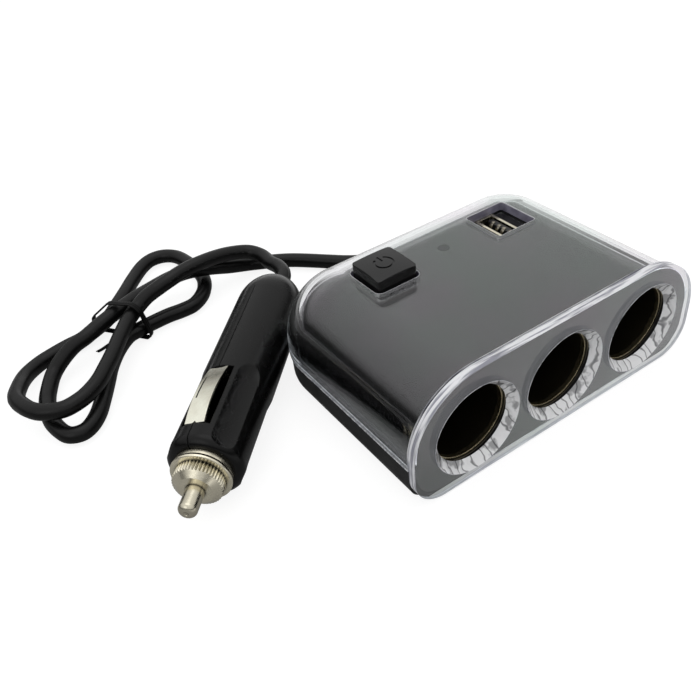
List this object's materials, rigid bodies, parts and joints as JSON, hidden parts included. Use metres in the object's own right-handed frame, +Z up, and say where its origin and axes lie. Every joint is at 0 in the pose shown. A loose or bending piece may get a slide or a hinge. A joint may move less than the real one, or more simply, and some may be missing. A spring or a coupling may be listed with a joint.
{
  "type": "car power socket splitter",
  "caption": "Clear-covered splitter box with round vehicle power sockets, a power button, a lamp and a USB port, fed by a vehicle plug on a tied cord.",
  "frame": {"origin": "middle of the housing's underside, halfway between the front plate and the rear face, without the cord and plug", "axes": "+Z up, -Y out of the sockets' mouths, +X to the right as seen from the front"},
  "size_m": [0.1614, 0.1486, 0.0364],
  "materials": {
    "black_gloss": "gloss",
    "black_matte": "matte",
    "button_black": "satin",
    "plug_black": "satin",
    "clear": "clear gloss",
    "brass_metal": "satin",
    "bright_metal": "bright",
    "nickel": "satin",
    "white_plastic": "matte",
    "board": "satin",
    "lamp": "frosted",
    "cord_black": "satin",
    "tie_black": "satin",
    "glass_tube": "clear"
  },
  "bodies": {
    "housing": {"base_shell": "black_gloss", "inner_shell": "black_gloss", "clear_cover": "clear", "front_plate": "clear", "front_panel": "black_gloss", "liner_left": "black_matte", "liner_mid": "black_matte", "liner_right": "black_matte", "can_left": "brass_metal", "can_mid": "brass_metal", "can_right": "brass_metal", "disc_left": "black_matte", "disc_mid": "black_matte", "disc_right": "black_matte", "contact_left": "brass_metal", "contact_mid": "brass_metal", "contact_right": "brass_metal", "circuit_board": "board", "switch_body": "black_matte", "lamp_pipe": "lamp", "lamp_diode": "lamp", "usb_shell": "bright_metal", "usb_tongue": "white_plastic", "screw_front_left": "bright_metal", "screw_front_right": "bright_metal", "screw_rear_left": "bright_metal", "screw_rear_right": "bright_metal", "strain_relief": "cord_black", "cord_supply": "cord_black", "cord_coil": "cord_black", "cord_plug_end": "cord_black", "twist_tie": "tie_black", "plug_half_a": "plug_black", "plug_half_b": "plug_black"},
    "button": {"power_button": "button_black"},
    "plug_pin": {"centre_pin": "nickel", "fuse": "glass_tube", "fuse_spring": "nickel"},
    "plug_contact_top": {"side_contact_top": "nickel"},
    "plug_contact_under": {"side_contact_under": "nickel"},
    "plug_nut": {"nose_nut": "nickel"}
  },
  "joints": [
    {"name": "button_press", "type": "slide", "parent": "housing", "child": "button", "axis": [0, 0, -1], "range_m": [0, 0.0018], "stiffness_N_per_m": 250},
    {"name": "pin_press", "type": "slide", "parent": "housing", "child": "plug_pin", "axis": [0.6977, 0.7164, 0], "range_m": [0, 0.0025], "stiffness_N_per_m": 400},
    {"name": "contact_top_press", "type": "slide", "parent": "housing", "child": "plug_contact_top", "axis": [0.1854, -0.1806, -0.9659], "range_m": [0, 0.0012], "stiffness_N_per_m": 300},
    {"name": "contact_under_press", "type": "slide", "parent": "housing", "child": "plug_contact_under", "axis": [-0.1854, 0.1806, 0.9659], "range_m": [-0.0015, 0.0008], "stiffness_N_per_m": 300},
    {"name": "nut_turn", "type": "hinge", "parent": "housing", "child": "plug_nut", "pos_m": [-0.08513, -0.00159, 0.00985], "axis": [-0.6977, -0.7164, 0], "continuous": true}
  ]
}
